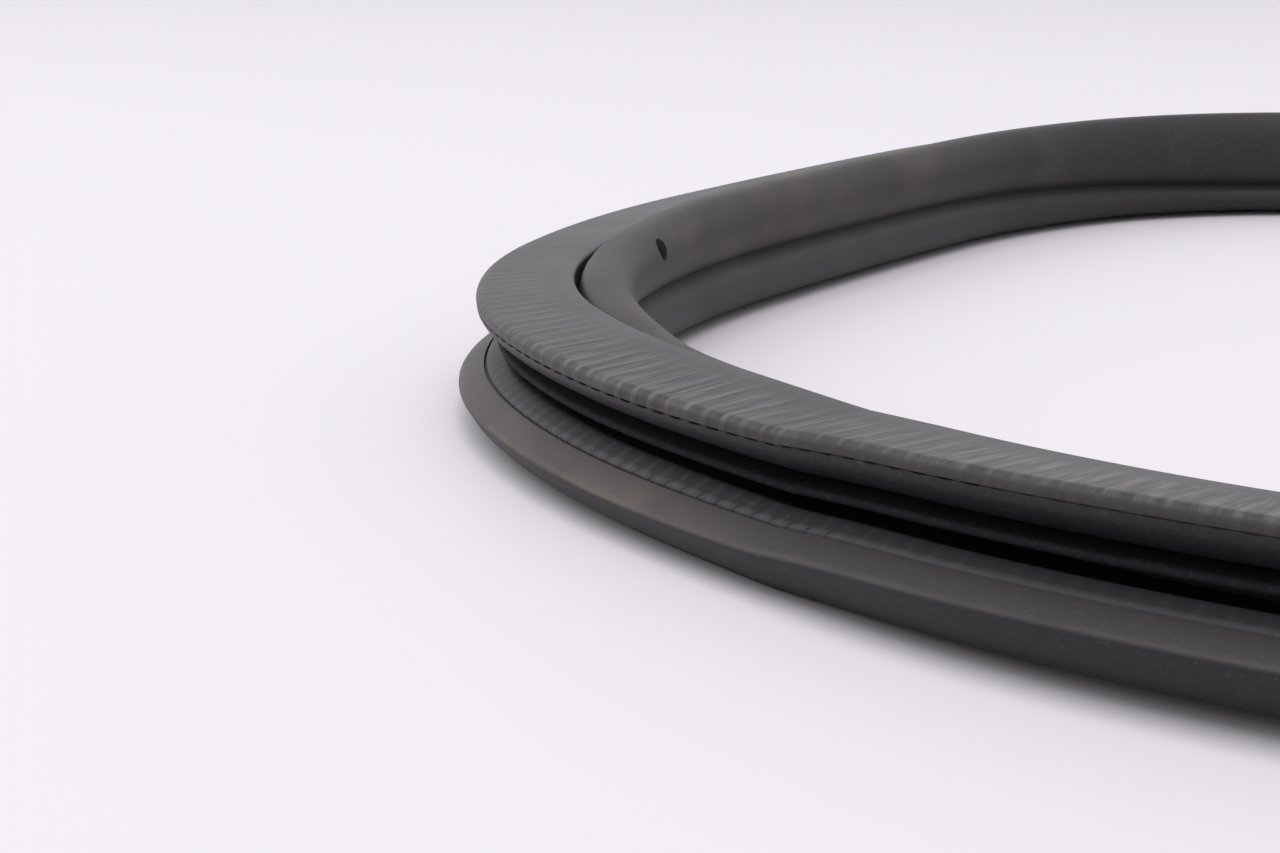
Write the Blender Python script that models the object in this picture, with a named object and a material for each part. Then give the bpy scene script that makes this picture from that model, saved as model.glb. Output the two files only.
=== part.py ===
"""A door weatherstrip: one closed loop of extruded rubber, lying on its side as it came off the car body.

The strip's section has a thick top leg with a flat face, a lower leg that flares outward, and between them
the channel that is pushed on to the body flange, with one gripping fin in its mouth. On the loop's inner side
are the hollow sealing bulb, opened by vent holes, and a solid lower lobe. The section is swept along the
loop's plan, rolled a little where the strip twists, and rests on z = 0 all the way round.

Section sizes are measured across, outward from the top face's inner edge, and up from the floor.
"""

import math

import bmesh
import bpy
from mathutils import Euler, Matrix, Vector

MM = 0.001

# Levels of the section, in millimetres, added up from the floor.
LOWER_LEG = 7.9
CHANNEL_WIDTH = 5.3
TOP_LEG = 4.9

# The top leg: its flat face, the rim, the sloping band under the rim and the lip at the channel's mouth.
TOP_WIDTH = 14.0
TOP_INNER_ROUND = 0.6
RIM_HEIGHT = 1.75
RIM_ROUND = 0.9
RIM_LEAN = 0.3
LIP_SETBACK = 4.6
LIP_DROP = 0.6
LIP_ROUND = 0.7
LIP_WIDTH = 1.0
BAND_BULGE = 0.5

# The channel and its fin.
CHANNEL_FLOOR = 1.6
CHANNEL_CORNER = 0.8
FIN_OFFSET = 0.3
FIN_GROOVE = 0.5
FIN_ROOT_WIDTH = 2.6
FIN_ROOT_ROUND = 1.5
FIN_REACH = 4.9
FIN_THICKNESS = 1.0
MOUTH_GAP = 1.4

# The lower leg: the crest at the mouth, the flared slope with its fine groove, and the edge.
CREST_SETBACK = 3.3
CREST_RISE = 1.2
CREST_RAMP = 3.0
CREST_ROUND = 0.9
LINE_SHARE = 0.39
LINE_DEPTH = 0.45
LINE_HALF_WIDTH = 0.3
FLARE_REACH = 3.8
FLARE_DROP = 3.4
EDGE_ROUND = 0.5
UNDERSIDE_SETBACK = 1.2
UNDERSIDE_LEVEL = 2.9
UNDERSIDE_ROUND = 3.0
SEAT_OUTER = 13.2
SEAT_ROUND = 1.0

# The loop's inner side: the lower lobe, the hollow bulb on it and the groove beside the top leg.
LOBE_RADIUS = 4.9
LOBE_CENTRE = -2.9
BULB_RADIUS = 4.1
BULB_WALL = 1.4
BULB_SINK = 0.4
BULB_JOIN = math.radians(14.0)
GROOVE_OFFSET = 0.3
BORE_SIDES = 8

# Vent holes through the bulb's wall, an even pitch apart, from the one seen in the bend.
VENT_RADIUS = 1.7
VENT_PITCH = 245.0
VENT_START = 229.0
VENT_RISE = math.radians(40.0)
VENT_SIDES = 8
VENT_OVERRUN = 1.5

# The loop's plan along the top face's inner edge: the tight bend as arcs of length and radius in millimetres,
# from the near strand round to the far one, with the section's roll in degrees where each arc ends.
NEAR_ROLL = -6.5
BEND = (
    (62.0, 196.0, -6.5),
    (42.0, 128.0, -3.0),
    (38.0, 350.0, 5.0),
    (34.0, 122.0, 5.0),
    (50.0, 80.0, 3.5),
    (48.0, 170.0, 3.5),
    (74.0, 960.0, 0.0),
    (44.0, 142.0, -8.5),
)
FAR_RADIUS = 89.0
FAR_ROLL = -18.5
NEAR_HEADING = math.radians(167.0)
STRAND_SPREAD = math.radians(12.0)
END_RADIUS = 240.0
ROLL_EASE = 180.0

# The longest step between stations on each stretch.
BEND_STEP = 12.5
EASE_STEP = 36.0
STRAND_STEP = 135.0
END_STEP = 38.0

RUBBER_COLOUR = (0.055, 0.054, 0.056, 1.0)
RUBBER_ROUGHNESS = 0.62


def clear_scene():
    """Removes every object that the file starts with."""
    for item in list(bpy.data.objects):
        bpy.data.objects.remove(item, do_unlink=True)


def new_collection(name):
    """A collection of that name, linked to the scene."""
    group = bpy.data.collections.new(name)
    bpy.context.scene.collection.children.link(group)
    return group


def rubber():
    """Black rubber gone matt and grey."""
    material = bpy.data.materials.new("weatherstrip_rubber")
    material.use_nodes = True
    shader = material.node_tree.nodes["Principled BSDF"]
    shader.inputs["Base Color"].default_value = RUBBER_COLOUR
    shader.inputs["Roughness"].default_value = RUBBER_ROUGHNESS
    shader.inputs["Metallic"].default_value = 0.0
    return material


def arc(centre, radius, start, end, steps):
    """Points on an arc, from one angle to another."""
    angles = [start + (end - start) * i / steps for i in range(steps + 1)]
    return [(centre[0] + radius * math.cos(a), centre[1] + radius * math.sin(a)) for a in angles]


def fillet(before, corner, after, radius, steps):
    """The corner rounded by an arc that touches both of its sides, and takes up at most half of either."""
    here = Vector(corner)
    side_before = Vector(before) - here
    side_after = Vector(after) - here
    to_before = side_before.normalized()
    to_after = side_after.normalized()
    half = to_before.angle(to_after) / 2
    room = min(side_before.length, side_after.length) / 2
    radius = min(radius, room * math.tan(half))
    middle = here + (to_before + to_after).normalized() * (radius / math.sin(half))
    first = here + to_before * (radius / math.tan(half)) - middle
    last = here + to_after * (radius / math.tan(half)) - middle
    turn = math.atan2(first.x * last.y - first.y * last.x, first.dot(last))
    spokes = [Matrix.Rotation(turn * i / steps, 2) @ first for i in range(steps + 1)]
    return [tuple(middle + spoke) for spoke in spokes]


def rounded(corners):
    """An open outline through corners, each (across, level) or (across, level, radius, steps)."""
    points = []
    for i, corner in enumerate(corners):
        if len(corner) == 2:
            points.append(corner)
            continue
        across, level, radius, steps = corner
        points += fillet(corners[i - 1][:2], (across, level), corners[i + 1][:2], radius, steps)
    return points


def bulb_centre():
    """The bulb sits on the lobe and touches the top leg's wall at the groove."""
    across = -(BULB_RADIUS * math.cos(BULB_JOIN) + GROOVE_OFFSET)
    return across, 2 * LOBE_RADIUS + BULB_RADIUS - BULB_SINK


def crease_angles():
    """The angles, round the lobe's centre and the bulb's, of the crease where the two meet."""
    lobe = Vector((LOBE_CENTRE, LOBE_RADIUS))
    bulb = Vector(bulb_centre())
    apart = (bulb - lobe).length
    along = (apart ** 2 + LOBE_RADIUS ** 2 - BULB_RADIUS ** 2) / (2 * apart)
    aside = math.sqrt(LOBE_RADIUS ** 2 - along ** 2)
    up = (bulb - lobe) / apart
    crease = lobe + up * along + Vector((-up.y, up.x)) * aside
    from_lobe = crease - lobe
    from_bulb = crease - bulb
    return math.atan2(from_lobe.y, from_lobe.x), math.atan2(from_bulb.y, from_bulb.x)


def top_leg(channel_top):
    """From the groove up over the flat face, round the rim and down the sloping band to the lip."""
    height = channel_top + TOP_LEG
    rim_foot = (TOP_WIDTH - RIM_LEAN, height - RIM_HEIGHT)
    lip = (TOP_WIDTH - LIP_SETBACK, channel_top - LIP_DROP)
    bulge = ((rim_foot[0] + lip[0]) / 2 + BAND_BULGE, (rim_foot[1] + lip[1]) / 2 - BAND_BULGE)
    return [
        (0.0, height, TOP_INNER_ROUND, 2),
        (TOP_WIDTH, height, RIM_ROUND, 3),
        (*rim_foot, RIM_ROUND, 1),
        bulge,
        (*lip, LIP_ROUND, 2),
        (lip[0] - LIP_WIDTH, channel_top),
    ]


def channel(channel_top, crest_level):
    """The fin, hung near the middle of the channel's upper wall, and the channel's floor."""
    lip_inner = TOP_WIDTH - LIP_SETBACK - LIP_WIDTH
    root = (CHANNEL_FLOOR + lip_inner + FIN_ROOT_WIDTH) / 2 + FIN_OFFSET
    under_root = channel_top - FIN_GROOVE
    tip = root + FIN_REACH
    tip_under = crest_level + MOUTH_GAP
    return [
        (root, channel_top),
        (root, under_root),
        (tip, tip_under + FIN_THICKNESS),
        (tip, tip_under),
        (root - FIN_ROOT_WIDTH, under_root, FIN_ROOT_ROUND, 1),
        (CHANNEL_FLOOR, channel_top, CHANNEL_CORNER, 2),
        (CHANNEL_FLOOR, LOWER_LEG, CHANNEL_CORNER, 2),
    ]


def lower_leg(crest_level):
    """The crest, the flared slope with its fine groove, the edge and the underside down to the floor."""
    crest = TOP_WIDTH - CREST_SETBACK
    reach = TOP_WIDTH + FLARE_REACH
    edge_level = crest_level - FLARE_DROP
    run = reach - crest
    line = crest + run * LINE_SHARE

    def slope(across):
        return crest_level - FLARE_DROP * (across - crest) / run

    return [
        (crest - CREST_RAMP, LOWER_LEG),
        (crest, crest_level, CREST_ROUND, 2),
        (line - LINE_HALF_WIDTH, slope(line - LINE_HALF_WIDTH)),
        (line, slope(line) - LINE_DEPTH),
        (line + LINE_HALF_WIDTH, slope(line + LINE_HALF_WIDTH)),
        (reach, edge_level, EDGE_ROUND, 2),
        (reach - UNDERSIDE_SETBACK, UNDERSIDE_LEVEL, UNDERSIDE_ROUND, 2),
        (SEAT_OUTER, 0.0, SEAT_ROUND, 2),
        (LOBE_CENTRE, 0.0),
    ]


def section_outline():
    """The strip's outline, from the groove beside the top leg outward, down and back up the inner side."""
    channel_top = LOWER_LEG + CHANNEL_WIDTH
    crest_level = LOWER_LEG + CREST_RISE
    on_lobe, on_bulb = crease_angles()
    lobe_floor = math.radians(270.0)
    lobe = arc((LOBE_CENTRE, LOBE_RADIUS), LOBE_RADIUS, lobe_floor, on_lobe, 8)
    bulb = arc(bulb_centre(), BULB_RADIUS, on_bulb + 2 * math.pi, BULB_JOIN, 10)
    groove = bulb[-1]
    front = rounded([groove, *top_leg(channel_top), *channel(channel_top, crest_level), *lower_leg(crest_level)])
    return front + lobe[1:-1] + bulb[:-1]


def bulb_bore():
    """The outline of the bulb's hollow."""
    return arc(bulb_centre(), BULB_RADIUS - BULB_WALL, 0.0, 2 * math.pi, BORE_SIDES)[:-1]


def forward(heading):
    """The path's direction."""
    return Vector((math.cos(heading), math.sin(heading)))


def outward(heading):
    """The way out of the loop, for a path that runs clockwise round it."""
    return Vector((-math.sin(heading), math.cos(heading)))


def slope_at(stops, i):
    """How fast the value changes at that stop: level where it turns or stays, and at both ends."""
    if i in (0, len(stops) - 1):
        return 0.0
    (run_before, before), (_, here), (run_after, after) = stops[i - 1:i + 2]
    if (here - before) * (after - here) <= 0:
        return 0.0
    return (after - before) / (run_after - run_before)


def smooth_through(stops, run):
    """The value at that distance on a smooth curve through stops, each (distance, value)."""
    i = max(0, sum(stop[0] <= run for stop in stops[:-1]) - 1)
    (start, first), (end, last) = stops[i:i + 2]
    length = end - start
    share = (run - start) / length
    rise = share * share * (3 - 2 * share)
    leaving = share * (1 - share) ** 2 * length
    arriving = -share * share * (1 - share) * length
    slopes = leaving * slope_at(stops, i) + arriving * slope_at(stops, i + 1)
    return first + (last - first) * rise + slopes


class Station:
    """A place on the loop's path, with its heading, the section's roll and the distance run so far."""

    def __init__(self, place, heading, roll, run):
        self.place = place
        self.heading = heading
        self.roll = roll
        self.run = run

    def lift(self, outline):
        """How far the rolled section rises so that its lowest point rests on the floor."""
        angle = math.radians(self.roll)
        return max(across * math.sin(angle) - level * math.cos(angle) for across, level in outline)

    def at(self, across, level, outline):
        """A point of the section, in space."""
        angle = math.radians(self.roll)
        out = across * math.cos(angle) + level * math.sin(angle)
        up = level * math.cos(angle) - across * math.sin(angle) + self.lift(outline)
        spot = self.place + outward(self.heading) * out
        return Vector((spot.x, spot.y, up))


def extend(stations, length, radius, step):
    """Goes on from the last station along an arc of that radius, or straight where it is None."""
    last = stations[-1]
    count = max(1, math.ceil(length / step))
    piece = length / count
    turn = -piece / radius if radius else 0.0
    chord = 2 * radius * math.sin(piece / radius / 2) if radius else piece
    place = last.place
    for i in range(1, count + 1):
        place = place + forward(last.heading + turn * (i - 0.5)) * chord
        stations.append(Station(place, last.heading + turn * i, 0.0, last.run + piece * i))


def strand_lengths(near, far):
    """How far the far and the near strand run straight before the round end, which touches both."""
    back = -forward(near.heading)
    on = forward(far.heading)
    gap = near.place - outward(near.heading) * END_RADIUS - far.place + outward(far.heading) * END_RADIUS
    cross = on.cross(back)
    return gap.cross(back) / cross, gap.cross(on) / cross


def loop_stations():
    """Stations round the whole loop: the bend, the far strand, the round end and the near strand."""
    stations = [Station(Vector((0.0, 0.0)), NEAR_HEADING, 0.0, 0.0)]
    rolls = [(-ROLL_EASE, 0.0), (0.0, NEAR_ROLL)]
    for length, radius, roll in BEND:
        extend(stations, length, radius, BEND_STEP)
        rolls.append((stations[-1].run, roll))
    far_heading = NEAR_HEADING - math.pi + STRAND_SPREAD
    extend(stations, (stations[-1].heading - far_heading) * FAR_RADIUS, FAR_RADIUS, BEND_STEP)
    rolls += [(stations[-1].run, FAR_ROLL), (stations[-1].run + ROLL_EASE, 0.0)]
    far_length, near_length = strand_lengths(stations[0], stations[-1])
    extend(stations, ROLL_EASE, None, EASE_STEP)
    extend(stations, far_length - ROLL_EASE, None, STRAND_STEP)
    extend(stations, (math.pi + STRAND_SPREAD) * END_RADIUS, END_RADIUS, END_STEP)
    extend(stations, near_length - ROLL_EASE, None, STRAND_STEP)
    extend(stations, ROLL_EASE, None, EASE_STEP)
    total = stations[-1].run
    rolls += [(total - ROLL_EASE, 0.0), (total, NEAR_ROLL)]
    for station in stations:
        station.roll = smooth_through(rolls, station.run)
    return stations


def between(stations, run):
    """The station at that distance along the path."""
    for before, after in zip(stations, stations[1:]):
        if run <= after.run:
            share = (run - before.run) / (after.run - before.run)
            place = before.place.lerp(after.place, share)
            heading = before.heading + (after.heading - before.heading) * share
            roll = before.roll + (after.roll - before.roll) * share
            return Station(place, heading, roll, run)
    return stations[-1]


def poly_curve(name, points, group):
    """A closed curve object through the points, each (x, y, z, tilt) in millimetres and radians."""
    data = bpy.data.curves.new(name, "CURVE")
    data.dimensions = "3D"
    data.twist_mode = "Z_UP"
    line = data.splines.new("POLY")
    line.points.add(len(points) - 1)
    for point, (x, y, z, tilt) in zip(line.points, points):
        point.co = (x * MM, y * MM, z * MM, 1.0)
        point.tilt = tilt
    line.use_cyclic_u = True
    curve = bpy.data.objects.new(name, data)
    group.objects.link(curve)
    return curve


def sweep(name, outline, stations, seat, group):
    """The outline swept round the path as a mesh object. Seat is the outline that rests on the floor."""
    # A bevel profile's +X lies on the path's right, which is the loop's inner side, so across is turned round.
    profile = poly_curve(name + "_profile", [(-across, level, 0.0, 0.0) for across, level in outline], group)
    profile.data.dimensions = "2D"
    places = [(s.place.x, s.place.y, s.lift(seat), -math.radians(s.roll)) for s in stations[:-1]]
    path = poly_curve(name + "_path", places, group)
    path.data.bevel_mode = "OBJECT"
    path.data.bevel_object = profile

    bpy.context.view_layer.update()
    graph = bpy.context.evaluated_depsgraph_get()
    mesh = bpy.data.meshes.new_from_object(path.evaluated_get(graph))
    mesh.name = name
    bpy.data.objects.remove(path, do_unlink=True)
    bpy.data.objects.remove(profile, do_unlink=True)
    weld(mesh)
    piece = bpy.data.objects.new(name, mesh)
    group.objects.link(piece)
    return piece


def weld(mesh):
    """Joins the sweep's seam and turns its faces outward."""
    shape = bmesh.new()
    shape.from_mesh(mesh)
    bmesh.ops.remove_doubles(shape, verts=shape.verts, dist=0.01 * MM)
    bmesh.ops.recalc_face_normals(shape, faces=shape.faces)
    shape.to_mesh(mesh)
    shape.free()


def as_cutter(piece):
    piece.hide_render = True
    piece.display_type = "WIRE"


def vent_cutters(stations, outline, shift, group):
    """Round cutters that run from the bulb's hollow out through its wall, inward and a little up."""
    across, level = bulb_centre()
    length = BULB_RADIUS + VENT_OVERRUN
    total = stations[-1].run
    count = round(total / VENT_PITCH)
    for i in range(count):
        station = between(stations, (VENT_START + total * i / count) % total)
        middle = station.at(
            across - math.cos(VENT_RISE) * length / 2, level + math.sin(VENT_RISE) * length / 2, outline
        )
        bpy.ops.mesh.primitive_cylinder_add(
            vertices=VENT_SIDES, radius=VENT_RADIUS * MM, depth=length * MM, location=middle * MM + shift
        )
        vent = bpy.context.object
        vent.name = f"vent_cutter_{i + 1}"
        lean = VENT_RISE + math.radians(station.roll) - math.pi / 2
        vent.rotation_euler = Euler((lean, 0.0, station.heading), "XYZ")
        for home in list(vent.users_collection):
            home.objects.unlink(vent)
        group.objects.link(vent)
        as_cutter(vent)


def main():
    clear_scene()
    parts = new_collection("door_weatherstrip")
    cutters = new_collection("cutters")
    vents = bpy.data.collections.new("vent_cutters")
    cutters.children.link(vents)
    stations = loop_stations()
    outline = section_outline()

    strip = sweep("weatherstrip", outline, stations, outline, parts)
    strip.data.materials.append(rubber())
    lows = Vector(min(v.co[i] for v in strip.data.vertices) for i in range(3))
    highs = Vector(max(v.co[i] for v in strip.data.vertices) for i in range(3))
    shift = Vector((-(lows.x + highs.x) / 2, -(lows.y + highs.y) / 2, -lows.z))
    strip.location = shift

    bore = sweep("bulb_bore", bulb_bore(), stations, outline, cutters)
    bore.location = shift
    as_cutter(bore)
    vent_cutters(stations, outline, shift, vents)

    hollow = strip.modifiers.new("bulb hollow", "BOOLEAN")
    hollow.operation = "DIFFERENCE"
    hollow.solver = "EXACT"
    hollow.object = bore
    holes = strip.modifiers.new("vent holes", "BOOLEAN")
    holes.operation = "DIFFERENCE"
    holes.solver = "EXACT"
    holes.operand_type = "COLLECTION"
    holes.collection = vents

    strip.data.shade_smooth()
    strip.data.set_sharp_from_angle(angle=math.radians(40.0))


main()
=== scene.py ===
"""The looks of a door weatherstrip: ribbed black rubber gone grey and dusty, in a loop on a pale table.

The strip is made straight, rib by rib, as four pieces that share one section: the top leg with its cross ribs
and dashes, the lower leg with its ribbed band and groove line, the fin in the channel between them, and the
hollow seal on the loop's inner side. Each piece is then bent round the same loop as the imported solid.

Section sizes are in millimetres, across from the top face's inner edge and up from the floor.
"""

import math

import bpy
import numpy as np
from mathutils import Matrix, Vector


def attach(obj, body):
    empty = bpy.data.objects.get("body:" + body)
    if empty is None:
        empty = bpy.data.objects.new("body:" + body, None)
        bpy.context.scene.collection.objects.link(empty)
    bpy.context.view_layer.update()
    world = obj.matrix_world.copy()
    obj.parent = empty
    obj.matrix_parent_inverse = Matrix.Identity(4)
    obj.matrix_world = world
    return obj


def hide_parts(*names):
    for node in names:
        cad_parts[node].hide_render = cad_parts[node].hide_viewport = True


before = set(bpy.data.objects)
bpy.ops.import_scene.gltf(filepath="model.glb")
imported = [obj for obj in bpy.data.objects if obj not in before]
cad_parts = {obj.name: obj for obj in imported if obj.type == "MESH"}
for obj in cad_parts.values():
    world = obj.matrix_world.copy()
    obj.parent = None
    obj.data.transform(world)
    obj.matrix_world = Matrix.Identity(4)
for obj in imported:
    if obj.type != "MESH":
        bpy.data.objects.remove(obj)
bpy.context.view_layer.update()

MM = 0.001

# The photograph's camera, in metres and degrees.
CAMERA_PLACE = (-0.59484, -0.22278, 0.07586)
CAMERA_PITCH = 14.95
FOCAL_PIXELS = 2121.0
IMAGE_WIDTH = 1280.0
SENSOR_WIDTH = 36.0

# The loop's plan along the top face's inner edge: length, radius and the roll where each arc ends.
PATH_START = Vector((-472.33, -59.58))
NEAR_HEADING = math.radians(167.0)
NEAR_ROLL = -6.5
BEND = (
    (62.0, 196.0, -6.5),
    (42.0, 128.0, -3.0),
    (38.0, 350.0, 5.0),
    (34.0, 122.0, 5.0),
    (50.0, 80.0, 3.5),
    (48.0, 170.0, 3.5),
    (74.0, 960.0, 3.0),
    (44.0, 142.0, 3.0),
)
FAR_RADIUS = 89.0
FAR_ROLL = 3.0
STRAND_SPREAD = math.radians(12.0)
END_RADIUS = 240.0
ROLL_EASE = 180.0
BEND_STEP = 2.9
STRAND_STEP = 12.0

# Ribs: their pitch along the path, and the steps that one is made in, close to the camera and elsewhere.
RIB_PITCH = 2.86
FINE_STEPS = (0.0, 0.1, 0.2, 0.33, 0.5, 0.67, 0.8, 0.9, 1.0)
PLAIN_STEPS = (0.0, 0.5, 1.0)
# Stretches of finely made ribs from the path's start: how many, how deep, and how deep their dashes are.
RIB_STRETCHES = (
    (32, 0.7, 0.1),
    (12, 0.9, 0.35),
    (20, 1.0, 1.0),
    (8, 0.6, 0.7),
    (96, 0.25, 0.3),
)
PLAIN_DEPTH = 0.7
SEAL_STEP = 5.8

# The section.
HEIGHT = 18.1
TOP_WIDTH = 14.0
DASH_LEVEL = 16.35
LIP = (9.4, 12.6)
LIP_ROUND = 0.52
CHANNEL_TOP = 13.2
CHANNEL_BOTTOM = 7.9
CHANNEL_BACK = 1.6
CREST = (10.8, 8.9)
LINE = (13.6, 7.35)
EDGE = (17.6, 5.45)
EDGE_ROUND = 0.55
SEAT_ACROSS = 13.2
SEAT_ROUND = 1.0
SEAT_TOUCH = 0.37
FIN_ROUND = 0.55

LOBE_CENTRE = (-2.9, 4.7)
LOBE_RADIUS = 4.7
LOBE_END = 126.0
CREASE = (-5.2, 9.15)
BULB_CENTRE = (-4.28, 13.4)
BULB_SIZE = (4.1, 4.2)
BULB_WALL = 1.4
BULB_START = 246.0
HOLLOW_POINTS = 16
SHOULDER = (-2.55, 15.0)
SHOULDER_SIZE = (2.1, 2.6)

# The soft bulb's top level along the path: pressed down beside the near strand and risen on the far one.
BULB_TOPS = (
    (0.0, 14.6),
    (125.0, 15.0),
    (158.0, 15.0),
    (178.0, 16.7),
    (205.0, 18.6),
    (250.0, 20.3),
    (300.0, 20.7),
    (346.0, 20.9),
    (441.0, 21.4),
    (640.0, 17.6),
)
BULB_EASE = 200.0

# The crease's level along the path: it sinks where the far strand leaves the photograph.
CREASE_LEVELS = (
    (0.0, 9.15),
    (326.0, 9.0),
    (364.0, 8.4),
    (397.0, 7.3),
    (441.0, 5.8),
    (640.0, 9.15),
)

# How far the rubber sinks at the middle of each valley between two ribs.
TOP_VALLEY = 0.11
RIM_VALLEY = 0.05
DASH_DEPTH = 0.38
BAND_VALLEY = 0.03
FIN_VALLEY = 0.06
# Places across the top face, and the share of its valley's depth at each.
FACE_VALLEYS = ((3.0, 0.2), (6.0, 0.5), (9.0, 0.8), (11.4, 1.0))

# Vent holes through the bulb's wall.
VENT_RADIUS = 1.7
VENT_COUNT = 12
VENT_START = 229.0
VENT_RISE = math.radians(40.0)
VENT_ROOT = (-4.28, 13.5)
VENT_LENGTH = 5.6
VENT_REACH = 7.0

# Lengths this close count as the same, and points this close are joined: rib to rib, then the whole strip.
SAME = 0.02
RIB_JOIN = 0.01
STRIP_JOIN = 0.02

# Edges that turn by more than this stay sharp, on the ribbed pieces and on the seal.
RIBBED_CORNER = math.radians(52.0)
SEAL_CORNER = math.radians(40.0)

# Where the finishes change along the path: the painted highlights and streaks on the ribs and the squares'
# painted shade fade past the bend's near side, squares and dust grow faint on the near strand, where the
# lower leg is painted darker, and the bulb darkens where the far strand leaves the photograph.
RIB_SHADING_FADES = (150.0, 200.0)
SQUARES_START = (100.0, 140.0)
DUST_AND_SHADING_START = (95.0, 140.0)
BULB_DARKENS = (290.0, 430.0)


def pick_nothing():
    """Leaves nothing selected."""
    bpy.ops.object.select_all(action="DESELECT")


def pick(*pieces):
    """Leaves just these pieces selected, with the first one active."""
    pick_nothing()
    for piece in pieces:
        piece.select_set(True)
    bpy.context.view_layer.objects.active = pieces[0]


# The loop


def forward(heading):
    """The way that the path runs."""
    return Vector((math.cos(heading), math.sin(heading)))


def outward(heading):
    """The way out of the loop, for a path that runs clockwise round it."""
    return Vector((-math.sin(heading), math.cos(heading)))


def slope_at(stops, i):
    """How fast the value changes at that stop: level where it turns or stays, and at both ends."""
    if i in (0, len(stops) - 1):
        return 0.0
    (run_before, before), (_, here), (run_after, after) = stops[i - 1:i + 2]
    if (here - before) * (after - here) <= 0:
        return 0.0
    return (after - before) / (run_after - run_before)


def smooth_through(stops, run):
    """The value at that distance on a smooth curve through stops, each (distance, value)."""
    i = max(0, sum(stop[0] <= run for stop in stops[:-1]) - 1)
    (start, first), (end, last) = stops[i:i + 2]
    length = end - start
    share = (run - start) / length
    rise = share * share * (3 - 2 * share)
    leaving = share * (1 - share) ** 2 * length
    arriving = -share * share * (1 - share) * length
    slopes = leaving * slope_at(stops, i) + arriving * slope_at(stops, i + 1)
    return first + (last - first) * rise + slopes


def lift_at(roll):
    """How far a rolled section rises to rest on its lobe or on the lower leg's seat."""
    on_lobe = LOBE_CENTRE[0] * math.sin(roll) - LOBE_CENTRE[1] * math.cos(roll) + LOBE_RADIUS
    on_seat = (SEAT_ACROSS - SEAT_TOUCH) * math.sin(roll) - SEAT_ROUND * math.cos(roll) + SEAT_ROUND
    return max(on_lobe, on_seat)


class Station:
    """A place on the path, in millimetres, with its heading and roll in radians and the distance run."""

    def __init__(self, place, heading, roll, run):
        self.place = place
        self.heading = heading
        self.roll = roll
        self.run = run

    def at(self, across, level):
        """A point of the section, in millimetres."""
        out = across * math.cos(self.roll) + level * math.sin(self.roll)
        up = level * math.cos(self.roll) - across * math.sin(self.roll) + lift_at(self.roll)
        spot = self.place + outward(self.heading) * out
        return Vector((spot.x, spot.y, up))


def extend(stations, length, radius, step):
    """Goes on from the last station along an arc of that radius, or straight where it is None."""
    last = stations[-1]
    count = max(1, math.ceil(length / step))
    piece = length / count
    turn = -piece / radius if radius else 0.0
    chord = 2 * radius * math.sin(piece / radius / 2) if radius else piece
    place = last.place
    for i in range(1, count + 1):
        place = place + forward(last.heading + turn * (i - 0.5)) * chord
        stations.append(Station(place, last.heading + turn * i, 0.0, last.run + piece * i))


def loop_stations():
    """The bend, the far strand, the round end and the near strand, back to the start."""
    stations = [Station(PATH_START, NEAR_HEADING, 0.0, 0.0)]
    rolls = [(-ROLL_EASE, 0.0), (0.0, NEAR_ROLL)]
    for length, radius, roll in BEND:
        extend(stations, length, radius, BEND_STEP)
        rolls.append((stations[-1].run, roll))
    far_heading = NEAR_HEADING - math.pi + STRAND_SPREAD
    extend(stations, (stations[-1].heading - far_heading) * FAR_RADIUS, FAR_RADIUS, BEND_STEP)
    rolls += [(stations[-1].run, FAR_ROLL), (stations[-1].run + ROLL_EASE, 0.0)]
    near, far = stations[0], stations[-1]
    back = -forward(near.heading)
    on = forward(far.heading)
    gap = near.place - outward(near.heading) * END_RADIUS - far.place + outward(far.heading) * END_RADIUS
    far_length = gap.cross(back) / on.cross(back)
    near_length = gap.cross(on) / on.cross(back)
    extend(stations, ROLL_EASE, None, STRAND_STEP)
    extend(stations, far_length - ROLL_EASE, None, STRAND_STEP)
    extend(stations, (math.pi + STRAND_SPREAD) * END_RADIUS, END_RADIUS, STRAND_STEP)
    extend(stations, near_length - ROLL_EASE, None, STRAND_STEP)
    extend(stations, ROLL_EASE, None, STRAND_STEP)
    total = stations[-1].run
    rolls += [(total - ROLL_EASE, 0.0), (total, NEAR_ROLL)]
    for station in stations:
        station.roll = math.radians(smooth_through(rolls, station.run))
    return stations[:-1]


STATIONS = loop_stations()
KNOTS = [Vector((s.place.x, s.place.y, lift_at(s.roll))) for s in STATIONS]
STEPS = [(b - a).length for a, b in zip(KNOTS, KNOTS[1:] + KNOTS[:1])]
LOOP_LENGTH = sum(STEPS)
RIBS = round(LOOP_LENGTH / RIB_PITCH)
PITCH = LOOP_LENGTH / RIBS


def station_at(run):
    """The station at that distance along the path."""
    left = run % LOOP_LENGTH
    for i, step in enumerate(STEPS):
        if left <= step:
            break
        left -= step
    here = STATIONS[i]
    there = STATIONS[(i + 1) % len(STATIONS)]
    share = left / step
    place = here.place.lerp(there.place, share)
    turn = (there.heading - here.heading + math.pi) % (2 * math.pi) - math.pi
    return Station(place, here.heading + turn * share, here.roll + (there.roll - here.roll) * share, run)


def path_curve():
    """The loop as a curve whose tilt turns the section by its roll."""
    data = bpy.data.curves.new("loop_path", "CURVE")
    data.dimensions = "3D"
    data.twist_mode = "Z_UP"
    line = data.splines.new("POLY")
    line.points.add(len(KNOTS) - 1)
    for point, knot, station in zip(line.points, KNOTS, STATIONS):
        point.co = (*(knot * MM), 1.0)
        point.tilt = -station.roll
    line.use_cyclic_u = True
    curve = bpy.data.objects.new("loop_path", data)
    bpy.context.scene.collection.objects.link(curve)
    return curve


# Section outlines


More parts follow.
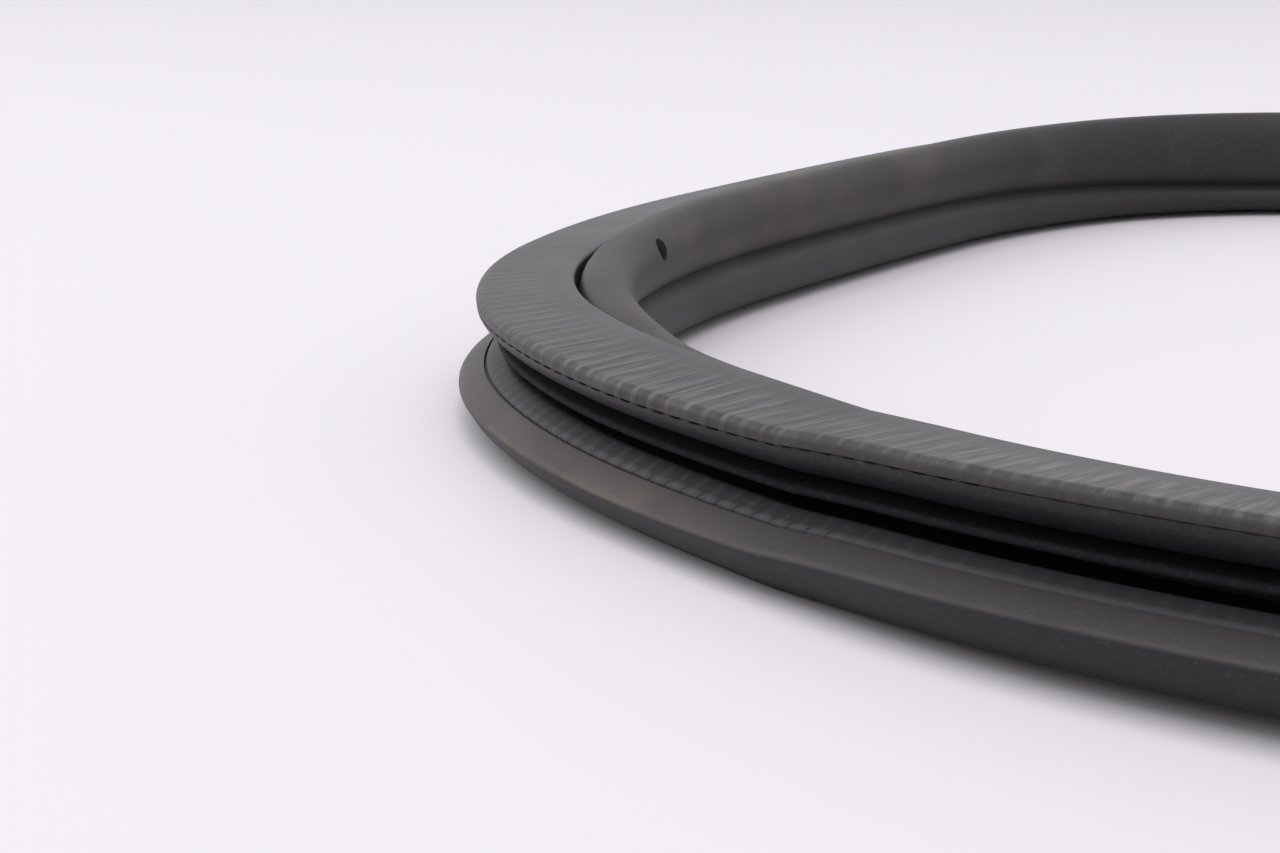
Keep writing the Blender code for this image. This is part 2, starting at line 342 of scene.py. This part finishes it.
def oval(centre, wide, high, start, end, steps):
    """Points on an ellipse, from one angle to another, in degrees."""
    turns = [math.radians(start + (end - start) * i / steps) for i in range(steps + 1)]
    return [(centre[0] + wide * math.cos(a), centre[1] + high * math.sin(a)) for a in turns]


def arc(centre, radius, start, end, steps):
    """Points on a circle, from one angle to another, in degrees."""
    return oval(centre, radius, radius, start, end, steps)


def top_leg_outline():
    """Over the face, round the rim, past the dash line, down the smooth band to the lip, and back inside."""
    inner_round = 0.6
    rim_round = 1.2
    face = [(across, HEIGHT) for across, _ in FACE_VALLEYS]
    return [
        *arc((inner_round, HEIGHT - inner_round), inner_round, 180, 90, 3),
        *face,
        *arc((TOP_WIDTH - rim_round, HEIGHT - rim_round), rim_round, 90, 10, 4),
        (TOP_WIDTH - 0.05, DASH_LEVEL + 0.14),
        (TOP_WIDTH - 0.2, DASH_LEVEL),
        (TOP_WIDTH - 0.04, DASH_LEVEL - 0.14),
        (TOP_WIDTH - 0.1, DASH_LEVEL - 0.55),
        (13.5, 15.0),
        (12.75, 14.15),
        (11.65, 13.42),
        (10.4, 12.9),
        *arc((LIP[0] + 0.12, LIP[1] + LIP_ROUND), LIP_ROUND, 292, 160, 3),
        (8.6, CHANNEL_TOP),
        (CHANNEL_BACK, CHANNEL_TOP),
        (CHANNEL_BACK, 6.4),
        (0.0, 6.4),
        (-0.28, 14.3),
    ]


def lower_leg_outline():
    """Along the channel's floor, over the crest, down the band, round the edge and under to the seat."""
    fall = (CREST[1] - EDGE[1]) / (EDGE[0] - CREST[0])

    def slope(across):
        return CREST[1] - fall * (across - CREST[0])

    return [
        (0.4, CHANNEL_BOTTOM),
        (7.4, CHANNEL_BOTTOM),
        (9.2, CREST[1] - 0.62),
        *arc((CREST[0] - 0.15, slope(CREST[0]) - 1.05), 0.92, 118, 66, 3),
        (11.8, slope(11.8) - 0.03),
        (12.5, slope(12.5)),
        (LINE[0] - 0.26, slope(LINE[0] - 0.26) + 0.02),
        (LINE[0] - 0.14, slope(LINE[0]) - 0.34),
        (LINE[0] + 0.06, slope(LINE[0]) - 0.42),
        (LINE[0] + 0.22, slope(LINE[0] + 0.22) + 0.02),
        (14.5, slope(14.5) + 0.05),
        (15.8, slope(15.8) + 0.05),
        (16.9, slope(16.9) + 0.01),
        *arc((EDGE[0] - EDGE_ROUND, EDGE[1] - 0.36), EDGE_ROUND, 55, -30, 3),
        (17.0, 3.9),
        (16.55, 2.95),
        (15.6, 1.9),
        *arc((SEAT_ACROSS - 0.4, SEAT_ROUND), SEAT_ROUND, -42, -90, 3),
        (-1.6, 0.02),
        (-1.2, 1.2),
        (0.4, 4.0),
    ]


def fin_outline():
    """The fin, from its root in the channel's roof out to its round tip."""
    return [
        (6.5, CHANNEL_TOP + 0.3),
        (6.6, 12.85),
        (7.4, 12.5),
        (9.2, 12.02),
        (10.7, 11.66),
        *arc((11.1, 11.05), FIN_ROUND, 80, -95, 5),
        (9.4, 11.02),
        (7.0, 11.75),
        (4.9, 12.35),
        (4.0, 12.8),
        (3.8, CHANNEL_TOP + 0.3),
    ]


def seal_outline():
    """From the lobe's foot to the crease, over the bulb to its shoulder by the top leg, and back inside."""
    return [
        *arc(LOBE_CENTRE, LOBE_RADIUS, 270, LOBE_END, 14),
        CREASE,
        *oval(BULB_CENTRE, *BULB_SIZE, BULB_START, 90, 16),
        *oval(SHOULDER, *SHOULDER_SIZE, 90, 0, 6),
        (0.5, 14.2),
        (0.5, 3.0),
    ]


def hollow_outline():
    """The inside of the bulb."""
    wide, high = BULB_SIZE
    steps = HOLLOW_POINTS - 1
    return oval(BULB_CENTRE, wide - BULB_WALL, high - BULB_WALL, 0, 360 * steps / HOLLOW_POINTS, steps)


# Straight strips


def section_ring(name, outline):
    """The outline drawn as a curve across the strip, and made a ring of edges."""
    data = bpy.data.curves.new(name, "CURVE")
    data.dimensions = "3D"
    line = data.splines.new("POLY")
    line.points.add(len(outline) - 1)
    for point, (across, level) in zip(line.points, outline):
        point.co = (0.0, across * MM, level * MM, 1.0)
    line.use_cyclic_u = True
    piece = bpy.data.objects.new(name, data)
    bpy.context.scene.collection.objects.link(piece)
    pick(piece)
    bpy.ops.object.convert(target="MESH")
    return bpy.context.object


def pull(piece, shares, pitch):
    """Extrudes the ring along the strip, one step for each share of the pitch."""
    pick(piece)
    bpy.ops.object.mode_set(mode="EDIT")
    bpy.ops.mesh.select_all(action="SELECT")
    for before, after in zip(shares, shares[1:]):
        move = {"value": ((after - before) * pitch * MM, 0.0, 0.0)}
        bpy.ops.mesh.extrude_region_move(TRANSFORM_OT_translate=move)
    bpy.ops.object.mode_set(mode="OBJECT")


def move_where(piece, test, offset):
    """Moves the points whose place, in millimetres, passes the test."""
    pick(piece)
    bpy.ops.object.mode_set(mode="EDIT")
    bpy.ops.mesh.select_all(action="DESELECT")
    bpy.ops.object.mode_set(mode="OBJECT")
    for vertex in piece.data.vertices:
        vertex.select = test(vertex.co / MM)
    bpy.ops.object.mode_set(mode="EDIT")
    bpy.ops.transform.translate(value=Vector(offset) * MM)
    bpy.ops.object.mode_set(mode="OBJECT")


def near(value, target):
    """Whether two lengths, in millimetres, are the same."""
    return abs(value - target) < SAME


def repeat(piece, count, pitch):
    """Copies of the piece along the strip, joined end to end."""
    pick(piece)
    array = piece.modifiers.new("ribs", "ARRAY")
    array.count = count
    array.use_relative_offset = False
    array.use_constant_offset = True
    array.constant_offset_displace = (pitch * MM, 0.0, 0.0)
    array.use_merge_vertices = True
    array.merge_threshold = RIB_JOIN * MM
    bpy.ops.object.modifier_apply(modifier=array.name)


def valley_share(share):
    """How deep a step lies in the valley between two ribs: 0 on the rib and 1 in the middle."""
    return 1.0 - abs(2.0 * share - 1.0) ** 2.5


def remember_strip(piece):
    """Keeps each point's place along, across and up the straight strip, in millimetres."""
    points = piece.data.vertices
    places = np.empty(len(points) * 3, np.float32)
    points.foreach_get("co", places)
    kept = piece.data.attributes.new("strip", "FLOAT_VECTOR", "POINT")
    kept.data.foreach_set("vector", places / MM)


def merge_points(piece):
    """Joins points that lie together, and turns the faces outward."""
    pick(piece)
    bpy.ops.object.mode_set(mode="EDIT")
    bpy.ops.mesh.select_all(action="SELECT")
    bpy.ops.mesh.remove_doubles(threshold=STRIP_JOIN * MM)
    bpy.ops.mesh.normals_make_consistent(inside=False)
    bpy.ops.object.mode_set(mode="OBJECT")


def bend_round(piece, path):
    """Bends the straight strip round the loop and closes it."""
    pick(piece)
    bend = piece.modifiers.new("round the loop", "CURVE")
    bend.object = path
    bend.deform_axis = "POS_X"
    bpy.ops.object.modifier_apply(modifier=bend.name)
    merge_points(piece)


def ribbed_strip(name, outline, shape_rib, path):
    """A strip of ribs round the whole loop, with fine steps where the photograph shows the ribs close."""
    fine_ribs = sum(count for count, _, _ in RIB_STRETCHES)
    stretches = [(count, FINE_STEPS, depth, dash) for count, depth, dash in RIB_STRETCHES]
    stretches.append((RIBS - fine_ribs, PLAIN_STEPS, PLAIN_DEPTH, PLAIN_DEPTH))
    made = []
    start = 0
    for count, steps, depth, dash in stretches:
        stretch = section_ring(name, outline)
        pull(stretch, steps, PITCH)
        for share in steps[1:-1]:
            shape_rib(stretch, share, valley_share(share) * depth, dash)
        repeat(stretch, count, PITCH)
        pick(stretch)
        bpy.ops.transform.translate(value=(start * PITCH * MM, 0.0, 0.0))
        bpy.ops.object.transform_apply(location=True, rotation=False, scale=False)
        made.append(stretch)
        start += count
    pick(*made)
    bpy.ops.object.join()
    piece = bpy.context.object
    merge_points(piece)
    remember_strip(piece)
    bend_round(piece, path)
    pick(piece)
    bpy.ops.object.shade_smooth_by_angle(angle=RIBBED_CORNER)
    piece.name = name
    return piece


def shape_top_rib(piece, share, deep, dash):
    """Sinks the top face and the rim between two ribs, and presses in the dash at the rim's foot."""
    x = share * PITCH
    rim = TOP_WIDTH - 1.3
    for across, part in FACE_VALLEYS:
        move_where(
            piece,
            lambda co: near(co.x, x) and near(co.y, across) and near(co.z, HEIGHT),
            (0.0, 0.0, -TOP_VALLEY * deep * part),
        )
    move_where(
        piece,
        lambda co: near(co.x, x) and co.y > rim and co.z > DASH_LEVEL + 0.2,
        (0.0, -RIM_VALLEY * deep, -RIM_VALLEY * deep),
    )
    if abs(share - 0.5) < 0.25:
        move_where(
            piece,
            lambda co: near(co.x, x) and near(co.z, DASH_LEVEL) and co.y > rim,
            (0.0, -DASH_DEPTH * dash, 0.0),
        )


def shape_leg_rib(piece, share, deep, dash):
    """Sinks the ribbed band, from the crest to the groove line, between two ribs."""
    x = share * PITCH
    move_where(
        piece,
        lambda co: near(co.x, x) and CREST[0] - 0.4 < co.y < LINE[0] - 0.3 and co.z > 7.0,
        (0.0, 0.0, -BAND_VALLEY * deep),
    )


def shape_fin_rib(piece, share, deep, dash):
    """Sinks the fin's tip between two ribs."""
    x = share * PITCH
    move_where(
        piece,
        lambda co: near(co.x, x) and co.y > 8.5,
        (0.0, -FIN_VALLEY * deep, 0.0),
    )


def seal_strip(path):
    """The hollow bulb and the lobe, bent round the loop, with its vent holes cut."""
    count = round(LOOP_LENGTH / SEAL_STEP)
    step = LOOP_LENGTH / count
    rings = []
    for outline in (seal_outline(), hollow_outline()):
        ring = section_ring("inner_seal", outline)
        pull(ring, (0.0, 1.0), step)
        repeat(ring, count, step)
        remember_strip(ring)
        stretch_bulb(ring)
        bend_round(ring, path)
        rings.append(ring)
    skin, hollow = rings
    cut(skin, hollow)
    for i in range(VENT_COUNT):
        run = VENT_START + LOOP_LENGTH * i / VENT_COUNT
        cut(skin, vent_cutter(run))
        remember_vent(skin, run)
    pick(skin)
    bpy.ops.object.shade_smooth_by_angle(angle=SEAL_CORNER)
    skin.name = "inner_seal"
    return skin


def stretch_bulb(piece):
    """Brings the straight strip's crease and the bulb's top to their levels at each place."""
    plain_crease = CREASE[1]
    plain_top = BULB_CENTRE[1] + BULB_SIZE[1]
    tops = [*BULB_TOPS, (LOOP_LENGTH - BULB_EASE, plain_top), (LOOP_LENGTH, BULB_TOPS[0][1])]
    creases = [*CREASE_LEVELS, (LOOP_LENGTH, plain_crease)]
    for vertex in piece.data.vertices:
        run = min(vertex.co.x / MM, LOOP_LENGTH)
        level = vertex.co.z / MM
        crease = smooth_through(creases, run)
        if level < plain_crease:
            level *= crease / plain_crease
        else:
            share = (level - plain_crease) / (plain_top - plain_crease)
            level = crease + share * (smooth_through(tops, run) - crease)
        vertex.co.z = level * MM


def cut(piece, cutter):
    """Takes the cutter's shape out of the piece, and does away with the cutter."""
    pick(piece)
    boolean = piece.modifiers.new("cut", "BOOLEAN")
    boolean.operation = "DIFFERENCE"
    boolean.solver = "EXACT"
    boolean.object = cutter
    bpy.ops.object.modifier_apply(modifier=boolean.name)
    bpy.data.objects.remove(cutter, do_unlink=True)


def vent_cutter(run):
    """A round cutter from the bulb's hollow out through its wall, inward and a little up."""
    station = station_at(run)
    middle = station.at(
        VENT_ROOT[0] - math.cos(VENT_RISE) * VENT_LENGTH / 2,
        VENT_ROOT[1] + math.sin(VENT_RISE) * VENT_LENGTH / 2,
    )
    lean = math.pi / 2 - VENT_RISE - station.roll
    pick_nothing()
    bpy.ops.mesh.primitive_cylinder_add(
        vertices=24,
        radius=VENT_RADIUS * MM,
        depth=VENT_LENGTH * MM,
        location=middle * MM,
        rotation=(lean, 0.0, station.heading),
    )
    return bpy.context.object


def remember_vent(piece, run):
    """Gives the points round a new vent hole their place on the straight strip."""
    station = station_at(run)
    middle = station.at(BULB_CENTRE[0] - BULB_SIZE[0], BULB_CENTRE[1]) * MM
    kept = piece.data.attributes["strip"]
    lift = lift_at(station.roll)
    for vertex in piece.data.vertices:
        if (vertex.co - middle).length > VENT_REACH * MM:
            continue
        away = vertex.co.xy / MM - station.place
        out = away.dot(outward(station.heading))
        up = vertex.co.z / MM - lift
        across = out * math.cos(station.roll) - up * math.sin(station.roll)
        level = out * math.sin(station.roll) + up * math.cos(station.roll)
        kept.data[vertex.index].vector = (run + away.dot(forward(station.heading)), across, level)


# Finishes


class Value:
    """A socket's value, with the arithmetic that the finishes use."""

    def __init__(self, maker, socket):
        self.maker = maker
        self.socket = socket

    def math(self, operation, first, second):
        """A Math node on two values or numbers."""
        return self.maker.node("ShaderNodeMath", {"operation": operation}, {0: first, 1: second})

    def __add__(self, other):
        return self.math("ADD", self, other)

    def __radd__(self, other):
        return self.math("ADD", other, self)

    def __sub__(self, other):
        return self.math("SUBTRACT", self, other)

    def __rsub__(self, other):
        return self.math("SUBTRACT", other, self)

    def __mul__(self, other):
        return self.math("MULTIPLY", self, other)

    def __rmul__(self, other):
        return self.math("MULTIPLY", other, self)

    def __truediv__(self, other):
        return self.math("DIVIDE", self, other)


class NodeMaker:
    """Makes the nodes of one tree."""

    def __init__(self, tree):
        self.tree = tree

    def node(self, kind, settings, sockets, output=0):
        """A new node with its settings made first, then its sockets filled, and one of its outputs."""
        made = self.tree.nodes.new(kind)
        for name, value in settings.items():
            setattr(made, name, value)
        for key, value in sockets.items():
            self.feed(made.inputs[key], value)
        return Value(self, made.outputs[output])

    def feed(self, socket, value):
        """Links a value made by other nodes to the socket, or sets a plain one there."""
        if isinstance(value, Value):
            self.tree.links.new(value.socket, socket)
        else:
            socket.default_value = value


class Finish(NodeMaker):
    """A material as it is put together from nodes."""

    def __init__(self, name):
        self.material = bpy.data.materials.new(name)
        self.material.use_nodes = True
        super().__init__(self.material.node_tree)
        self.shader = self.tree.nodes["Principled BSDF"]

    def strip(self):
        """Along, across and level on the straight strip, in millimetres."""
        place = self.node("ShaderNodeAttribute", {"attribute_name": "strip"}, {}, "Vector")
        return [self.node("ShaderNodeSeparateXYZ", {}, {0: place}, axis) for axis in range(3)]

    def place(self):
        """The point's place in the object, in metres."""
        return self.node("ShaderNodeTexCoord", {}, {}, "Object")

    def vector(self, x, y, z):
        """Three values as one vector."""
        return self.node("ShaderNodeCombineXYZ", {}, {0: x, 1: y, 2: z})

    def noise(self, vector, scale, detail=2.0, rough=0.5):
        """Soft noise, from 0 to 1, finer as the scale goes up."""
        sockets = {"Vector": vector, "Scale": scale, "Detail": detail, "Roughness": rough}
        return self.node("ShaderNodeTexNoise", {}, sockets)

    def rise(self, value, low, high):
        """0 below low, 1 above high, and smooth between them."""
        sockets = {"Value": value, "From Min": low, "From Max": high}
        return self.node("ShaderNodeMapRange", {"interpolation_type": "SMOOTHSTEP"}, sockets)

    def fall(self, value, low, high):
        """1 below low, 0 above high, and smooth between them."""
        return 1.0 - self.rise(value, low, high)

    def between(self, value, low, high, soft):
        """1 between low and high, with soft ends."""
        return self.rise(value, low - soft, low + soft) * self.fall(value, high - soft, high + soft)

    def mix(self, factor, first, second):
        """The second colour over the first, by the factor."""
        settings = {"data_type": "RGBA"}
        return self.node("ShaderNodeMix", settings, {0: factor, 6: first, 7: second}, 2)

    def bump(self, height, distance, strength):
        """A normal that makes the height look raised, by a distance in metres."""
        sockets = {"Height": height, "Distance": distance, "Strength": strength}
        return self.node("ShaderNodeBump", {}, sockets)


def grey(level, warmth=0.0):
    """A grey of that lightness with a trace of purple, a little warm or cold."""
    return (level * (1.0 + warmth), level * 0.94, level * (1.01 - warmth), 1.0)


PITCH_BLACK = grey(0.011, -0.04)
BLACK = grey(0.018, -0.05)
BAND_BLACK = grey(0.014, -0.04)
FIN_BLACK = grey(0.013, -0.02)
RIM_GREY = grey(0.050)
FACE_GREY = grey(0.062)
# The painted highlight on the face's rib ridges and in its light streaks.
FACE_HIGHLIGHT = grey(0.165, 0.02)
LEG_GREY = grey(0.054, 0.02)
SEAL_GREY = grey(0.044, 0.05)
# Dust specks. The same colour is also the painted highlight on the ribs' ridges.
DUST_AND_RIDGE_HIGHLIGHT = grey(0.16, 0.03)
EARTH = grey(0.085, 0.16)
RUST = grey(0.11, 0.26)
MOSS = (0.070, 0.072, 0.058, 1.0)


class Rubber(Finish):
    """Black rubber gone grey, laid on in zones of the section, then dusted, worn and given its grain."""

    def __init__(self, name, ground):
        super().__init__(name)
        self.along, self.across, self.level = self.strip()
        self.spot = self.place()
        self.colour = ground
        self.ridge = self.fall(self.triangle(), 0.16, 0.40)
        self.cloud = self.noise(self.spot, 55.0, 3.0)
        self.speckle = self.noise(self.spot, 1500.0, 3.0, 0.6)
        lines = self.vector(self.along * 0.02, self.across * 2.4, self.level * 2.4)
        self.streak = self.noise(lines, 1.0, 3.0)
        # Streaks across the strip, used for the painted light and shade along the face's ribs.
        crossing = self.vector(self.along * 1.5, self.across * 0.11, self.level * 0.11)
        self.light_and_shade_streaks = self.noise(crossing, 1.0, 4.0, 0.6)
        self.height = self.speckle * 0.35 + self.streak * 0.5

    def triangle(self):
        """0 on a rib's middle and 1 in the middle of the valley."""
        phase = self.node("ShaderNodeMath", {"operation": "FRACT"}, {0: self.along / PITCH})
        away = self.node("ShaderNodeMath", {"operation": "ABSOLUTE"}, {0: phase - 0.5})
        return 1.0 - away * 2.0

    def lay(self, zone, colour):
        """Another colour over a zone."""
        self.colour = self.mix(zone, self.colour, colour)

    def blotch(self, zone, scale, low, high, share, colour):
        """Patches of a colour in a zone."""
        patch = self.rise(self.noise(self.spot, scale, 3.0), low, high)
        self.lay(zone * patch * share, colour)

    def close(self, smooth, gloss=0.30):
        """Dust, gloss and grain over all of it. Smooth is the roughness before wear."""
        self.lay(self.rise(self.cloud, 0.35, 0.75) * 0.22, BLACK)
        self.lay(self.rise(self.speckle, 0.52, 0.80) * 0.16, DUST_AND_RIDGE_HIGHLIGHT)
        self.feed(self.shader.inputs["Base Color"], self.colour)
        self.feed(self.shader.inputs["Roughness"], smooth + 0.10 * self.cloud + 0.08 * self.streak)
        self.shader.inputs["Specular IOR Level"].default_value = gloss
        normal = self.bump(self.height, 0.00004, 0.5)
        self.feed(self.shader.inputs["Normal"], normal)
        return self.material


def top_leg_finish():
    """Grey ribs on the face with painted highlights on their ridges and painted light and shade streaks, dark
    squares of painted shade on the rim, the smooth band under it and the channel painted black as shade.
    """
    rubber = Rubber("ribbed top rubber", BAND_BLACK)
    on_face = rubber.rise(rubber.level, HEIGHT - 0.8, HEIGHT - 0.15)
    over_dashes = rubber.rise(rubber.level, DASH_LEVEL - 0.1, DASH_LEVEL + 0.1)
    on_rim = over_dashes * rubber.rise(rubber.across, TOP_WIDTH - 1.6, TOP_WIDTH - 0.9)
    below_roof = rubber.fall(rubber.level, CHANNEL_TOP, CHANNEL_TOP + 0.3)
    in_channel = below_roof * rubber.fall(rubber.across, LIP[0] + 0.2, LIP[0] + 0.8)
    near_strand = rubber.fall(rubber.along, *RIB_SHADING_FADES)
    ribbed = rubber.rise(rubber.across, 2.0, 8.0) * (0.2 + 0.8 * near_strand)
    rubber.lay(on_rim, RIM_GREY)
    rubber.lay(on_face, FACE_GREY)
    # Painted highlight along each rib's ridge on the face, and painted light and dark streaks across it. They
    # fade towards the inner edge and past the bend.
    rubber.lay(on_face * rubber.ridge * ribbed * 0.5, FACE_HIGHLIGHT)
    rubber.lay(on_face * rubber.rise(rubber.light_and_shade_streaks, 0.50, 0.64) * ribbed * 0.6, FACE_HIGHLIGHT)
    rubber.lay(on_face * rubber.fall(rubber.light_and_shade_streaks, 0.36, 0.50) * ribbed * 0.6, BAND_BLACK)
    worn = rubber.rise(rubber.noise(rubber.spot, 130.0, 2.0), 0.36, 0.60)
    at_bend = near_strand * (0.3 + 0.7 * rubber.rise(rubber.along, *SQUARES_START))
    squares = on_rim * at_bend * (0.3 + 0.7 * worn)
    # The rim is darker on the near strand, where its squares are faint. Painted shade lies in patches in the
    # valleys between its ribs, with painted highlight on their ridges.
    rubber.lay(on_rim * (near_strand - at_bend) * 0.5, BLACK)
    rubber.lay(squares * (1.0 - rubber.ridge) * 0.65, BLACK)
    rubber.lay(squares * rubber.ridge * 0.12, DUST_AND_RIDGE_HIGHLIGHT)
    rubber.blotch(on_rim * at_bend, 160.0, 0.46, 0.70, 0.4, EARTH)
    rubber.blotch(on_rim * at_bend, 210.0, 0.52, 0.72, 0.4, MOSS)
    rubber.blotch(on_face, 90.0, 0.50, 0.80, 0.35, EARTH)
    # Painted shade: the channel under the top leg is painted pitch black.
    rubber.lay(in_channel, PITCH_BLACK)
    return rubber.close(0.38)


def lower_leg_finish():
    """The ribbed band with painted shade and highlight on its ribs, the groove line, the dusty band with its
    worn edge, and the underside and channel floor painted dark as shade.
    """
    rubber = Rubber("flared leg rubber", LEG_GREY)
    underside = EDGE[1] - EDGE_ROUND
    above = rubber.rise(rubber.level, underside, underside + 0.6)
    on_ribs = rubber.between(rubber.across, CREST[0] - 0.1, LINE[0] - 0.2, 0.15) * above
    on_band = rubber.rise(rubber.across, LINE[0] + 0.2, LINE[0] + 0.5) * above
    on_line = rubber.between(rubber.across, LINE[0] - 0.2, LINE[0] + 0.2, 0.06) * above
    on_edge = rubber.between(rubber.across, EDGE[0] - 0.75, EDGE[0] - 0.05, 0.2) * above
    # Dust and rust on the band and edge, and the painted squares on the ribs, grow towards the bend. On the
    # near strand the lower leg is painted darker instead, as shade on the ribbed band.
    dusty = 0.25 + 0.75 * rubber.rise(rubber.along, *DUST_AND_SHADING_START)
    in_squares = on_ribs * dusty
    rubber.blotch(on_band * dusty, 40.0, 0.34, 0.60, 0.8, EARTH)
    rubber.lay((1.0 - dusty) * 0.6, BLACK)
    # The ribbed band is painted darker, with painted shade in the valleys between its ribs and painted
    # highlight on their ridges.
    rubber.lay(on_ribs * 0.35, BLACK)
    rubber.lay(in_squares * (1.0 - rubber.ridge) * 0.25, BLACK)
    rubber.lay(in_squares * rubber.ridge * 0.12, DUST_AND_RIDGE_HIGHLIGHT)
    rubber.lay(on_line * 0.8, PITCH_BLACK)
    rubber.blotch(on_edge * dusty, 120.0, 0.35, 0.65, 0.45, RUST)
    # Painted shade: the underside below the edge is painted dark, and the channel floor inside the mouth is
    # painted pitch black.
    rubber.lay(rubber.fall(rubber.level, underside, underside + 0.5), BLACK)
    rubber.lay(rubber.fall(rubber.across, CREST[0] - 1.2, CREST[0] - 0.4) * above, PITCH_BLACK)
    return rubber.close(0.44)


def fin_finish():
    """Dull black, with faint squares of painted shade along its tip and its underside painted black as shade.
    """
    rubber = Rubber("fin rubber", FIN_BLACK)
    # Painted shade between the ribs along the tip, and on the fin's underside.
    rubber.lay((1.0 - rubber.ridge) * 0.6, PITCH_BLACK)
    rubber.lay(rubber.fall(rubber.level, 10.7, 11.3), PITCH_BLACK)
    return rubber.close(0.62, 0.12)


def seal_finish():
    """Soft grey with earthy patches, with painted shade in the crease and painted black shade in the groove
    beside the top leg.
    """
    rubber = Rubber("seal rubber", SEAL_GREY)
    rubber.blotch(rubber.rise(rubber.level, 4.0, 9.0), 70.0, 0.45, 0.70, 0.5, EARTH)
    rubber.lay(rubber.rise(rubber.along, *BULB_DARKENS) * 0.75, BLACK)
    # Painted shade in the crease between bulb and lobe, and pitch black painted shade in the groove beside
    # the top leg.
    rubber.lay(rubber.between(rubber.level, 8.7, 9.6, 0.4) * 0.6, BLACK)
    rubber.lay(rubber.rise(rubber.across, -1.3, -0.5) * 0.8, PITCH_BLACK)
    return rubber.close(0.44)


# The room


FLOOR_SIZE = 40.0
FLOOR_COLOUR = (0.83, 0.795, 0.84, 1.0)
SKY_COLOUR = (0.94, 0.93, 0.96, 1.0)
SKY_STRENGTH = 0.60
BACKGROUND_COLOUR = (0.96, 0.95, 0.97, 1.0)
# Where the lamps point, and each lamp's place, size and power.
LIT_SPOT = Vector((-0.45, 0.0, 0.0))
OVERHEAD = ((-0.6, -0.3, 1.7), 1.8, 17.0)
WINDOW = ((-2.1, 0.6, 1.2), 1.5, 9.0)


def pale_floor():
    """A plain pale floor under the strip."""
    pick_nothing()
    bpy.ops.mesh.primitive_plane_add(size=FLOOR_SIZE, location=(0.0, 0.0, 0.0))
    floor = bpy.context.object
    floor.name = "floor"
    finish = Finish("pale table")
    finish.shader.inputs["Base Color"].default_value = FLOOR_COLOUR
    finish.shader.inputs["Roughness"].default_value = 0.6
    finish.shader.inputs["Specular IOR Level"].default_value = 0.25
    floor.data.materials.append(finish.material)


def soft_sky():
    """A soft sky all round, which the camera and glossy surfaces see as a white background."""
    world = bpy.data.worlds.new("studio")
    bpy.context.scene.world = world
    world.use_nodes = True
    tree = world.node_tree
    tree.nodes.remove(tree.nodes["Background"])
    maker = NodeMaker(tree)
    sky = maker.node("ShaderNodeBackground", {}, {"Color": SKY_COLOUR, "Strength": SKY_STRENGTH})
    bright = maker.node("ShaderNodeBackground", {}, {"Color": BACKGROUND_COLOUR, "Strength": 1.0})
    to_camera = maker.node("ShaderNodeLightPath", {}, {}, "Is Camera Ray")
    to_gloss = maker.node("ShaderNodeLightPath", {}, {}, "Is Glossy Ray")
    seen = to_camera.math("MAXIMUM", to_camera, to_gloss)
    both = maker.node("ShaderNodeMixShader", {}, {0: seen, 1: sky, 2: bright})
    maker.feed(tree.nodes["World Output"].inputs["Surface"], both)


def soft_lamp(name, place, size, power):
    """A square lamp that points at the bend and stays out of the picture."""
    data = bpy.data.lights.new(name, "AREA")
    data.size = size
    data.energy = power
    lamp = bpy.data.objects.new(name, data)
    lamp.location = place
    aim = LIT_SPOT - Vector(place)
    lamp.rotation_euler = aim.to_track_quat("-Z", "Y").to_euler()
    lamp.visible_camera = False
    bpy.context.scene.collection.objects.link(lamp)


def photo_camera():
    """The camera at the photograph's place, looking along +Y and a little down."""
    data = bpy.data.cameras.new("photo_camera")
    data.sensor_width = SENSOR_WIDTH
    data.lens = FOCAL_PIXELS / IMAGE_WIDTH * SENSOR_WIDTH
    data.clip_start = 0.01
    data.clip_end = 60.0
    camera = bpy.data.objects.new("photo_camera", data)
    camera.location = CAMERA_PLACE
    camera.rotation_euler = (math.radians(90.0 - CAMERA_PITCH), 0.0, 0.0)
    bpy.context.scene.collection.objects.link(camera)
    bpy.context.scene.camera = camera


def wear_as(piece, material):
    """The piece rides with the strip's one body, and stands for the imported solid."""
    piece.data.materials.clear()
    piece.data.materials.append(material)
    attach(piece, "root")
    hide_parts("weatherstrip")


photo_camera()
pale_floor()
soft_sky()
soft_lamp("overhead", *OVERHEAD)
soft_lamp("window", *WINDOW)
loop_path = path_curve()
wear_as(ribbed_strip("top_leg", top_leg_outline(), shape_top_rib, loop_path), top_leg_finish())
wear_as(ribbed_strip("lower_leg", lower_leg_outline(), shape_leg_rib, loop_path), lower_leg_finish())
wear_as(ribbed_strip("channel_fin", fin_outline(), shape_fin_rib, loop_path), fin_finish())
wear_as(seal_strip(loop_path), seal_finish())
bpy.data.objects.remove(loop_path, do_unlink=True)

scene = bpy.context.scene
scene.view_settings.view_transform = "Standard"
